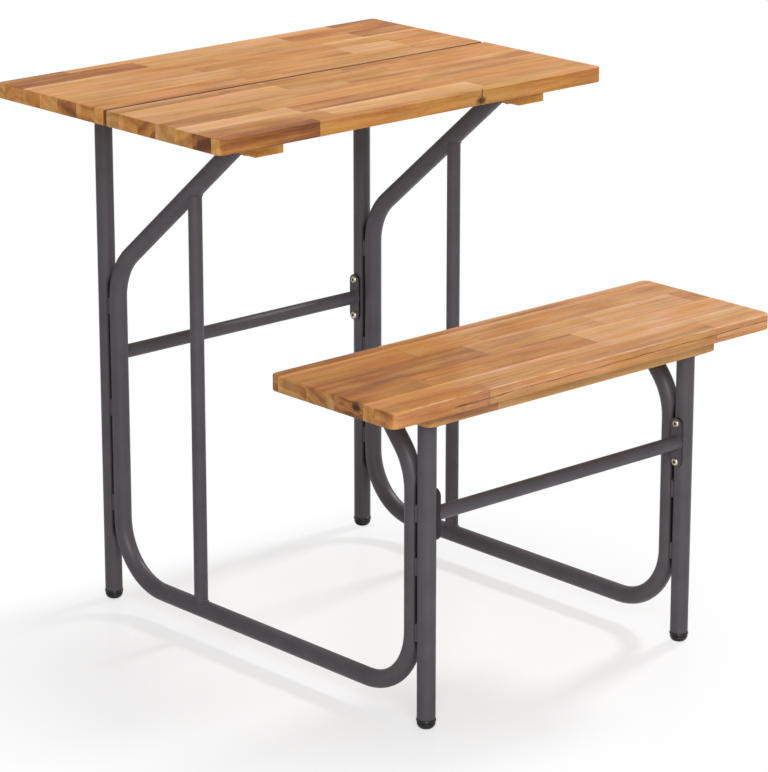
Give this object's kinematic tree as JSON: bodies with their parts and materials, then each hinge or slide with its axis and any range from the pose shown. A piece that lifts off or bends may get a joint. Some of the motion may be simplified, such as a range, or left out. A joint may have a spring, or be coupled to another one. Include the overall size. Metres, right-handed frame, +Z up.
{
  "type": "garden table with attached bench",
  "caption": "Wooden outdoor table joined to a lower wooden bench seat by welded, bent steel tube side frames with cross bars and domed feet.",
  "frame": {"origin": "on the floor under the middle of the whole piece", "axes": "+Z up, +Y from the bench towards the table, +X along the boards to the right of a person who sits on the bench and faces the table"},
  "size_m": [0.7, 0.82, 0.76],
  "materials": {
    "acacia_wood": "oiled solid staves, satin",
    "powder_coated_steel": "dark grey powder coat, satin",
    "zinc_plated_steel": "bright zinc plate",
    "foot_plastic": "black moulded plastic, glossy"
  },
  "bodies": {
    "root": {"bench_bar_plate_left": "powder_coated_steel", "bench_bar_plate_right": "powder_coated_steel", "bench_cross_bar": "powder_coated_steel", "bench_foot_left": "foot_plastic", "bench_foot_right": "foot_plastic", "bench_leg_flange_left": "powder_coated_steel", "bench_leg_flange_right": "powder_coated_steel", "bench_leg_left": "powder_coated_steel", "bench_leg_right": "powder_coated_steel", "bench_seat": "acacia_wood", "bench_under_board": "acacia_wood", "brace_flange_left": "powder_coated_steel", "brace_flange_right": "powder_coated_steel", "cleat_screws": "zinc_plated_steel", "cross_bar_bolts": "zinc_plated_steel", "flange_screws": "zinc_plated_steel", "leg_nuts": "zinc_plated_steel", "prop_flange_left": "powder_coated_steel", "prop_flange_right": "powder_coated_steel", "side_tube_left": "powder_coated_steel", "side_tube_right": "powder_coated_steel", "stitch_welds_left": "powder_coated_steel", "stitch_welds_right": "powder_coated_steel", "strut_left": "powder_coated_steel", "strut_right": "powder_coated_steel", "table_bar_plate_left": "powder_coated_steel", "table_bar_plate_right": "powder_coated_steel", "table_board_front": "acacia_wood", "table_board_rear": "acacia_wood", "table_cleat_left": "acacia_wood", "table_cleat_right": "acacia_wood", "table_cross_bar": "powder_coated_steel", "table_foot_left": "foot_plastic", "table_foot_right": "foot_plastic", "table_leg_flange_left": "powder_coated_steel", "table_leg_flange_right": "powder_coated_steel", "table_leg_left": "powder_coated_steel", "table_leg_right": "powder_coated_steel", "under_board_screws": "zinc_plated_steel"}
  },
  "joints": []
}
